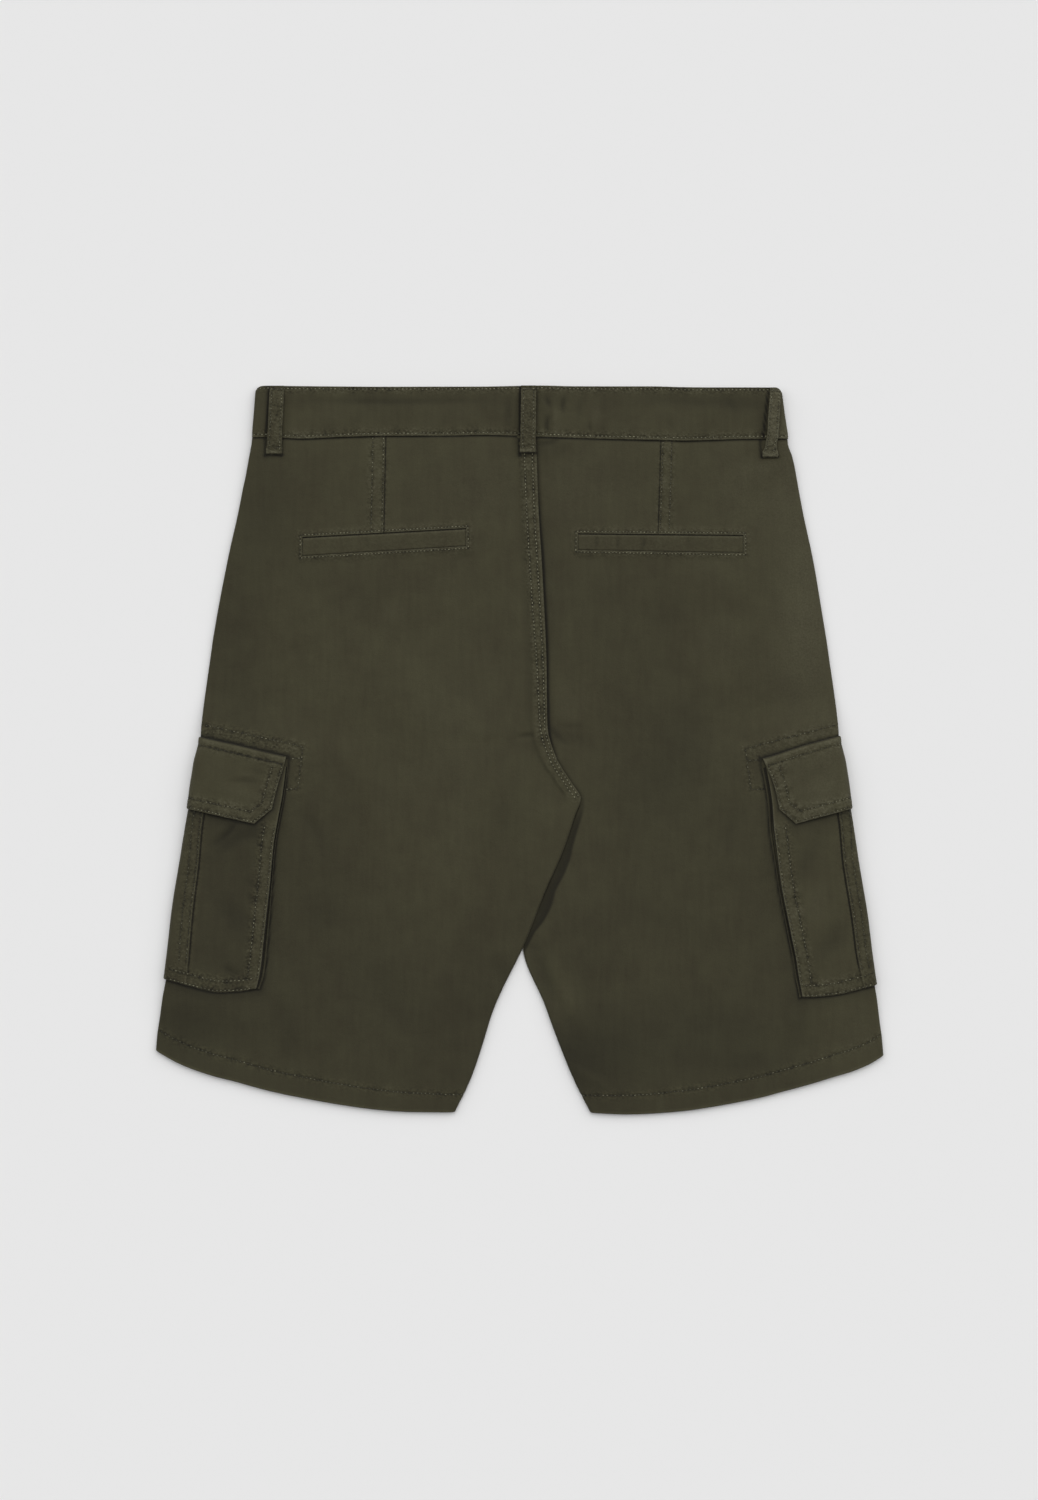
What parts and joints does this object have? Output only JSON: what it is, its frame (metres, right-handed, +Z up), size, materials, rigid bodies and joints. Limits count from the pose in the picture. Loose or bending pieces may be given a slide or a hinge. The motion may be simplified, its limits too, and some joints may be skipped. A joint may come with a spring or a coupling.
{
  "type": "cargo shorts",
  "caption": "Knee-length cargo shorts laid flat with the back up, with side pockets, pocket flaps, back welts and belt loops.",
  "frame": {"origin": "centre of the garment's outline on the surface that it lies on", "axes": "+Z up, away from that surface and out of the garment's back; +Y from the hems towards the waistband; +X towards the wearer's right"},
  "size_m": [0.5664, 0.5673, 0.0129],
  "materials": {
    "twill": "garment-dyed dark olive cotton twill, matt, worn paler along seams and edges",
    "thread": "tonal olive sewing thread, slightly paler than the cloth",
    "zip": "woven zip tape in dark olive",
    "button": "satin dark horn resin"
  },
  "bodies": {
    "root": {"back_left": "twill", "back_right": "twill", "front_left": "twill", "front_right": "twill", "waistband": "twill", "belt_loop_centre_back": "twill", "belt_loop_back_left": "twill", "belt_loop_back_right": "twill", "belt_loop_front_left": "twill", "belt_loop_front_right": "twill", "welt_left": "twill", "welt_right": "twill", "cargo_pocket_left": "twill", "cargo_pocket_right": "twill", "cargo_flap_left": "twill", "cargo_flap_right": "twill", "fly_zip": "zip", "waist_button": "button"}
  },
  "joints": []
}
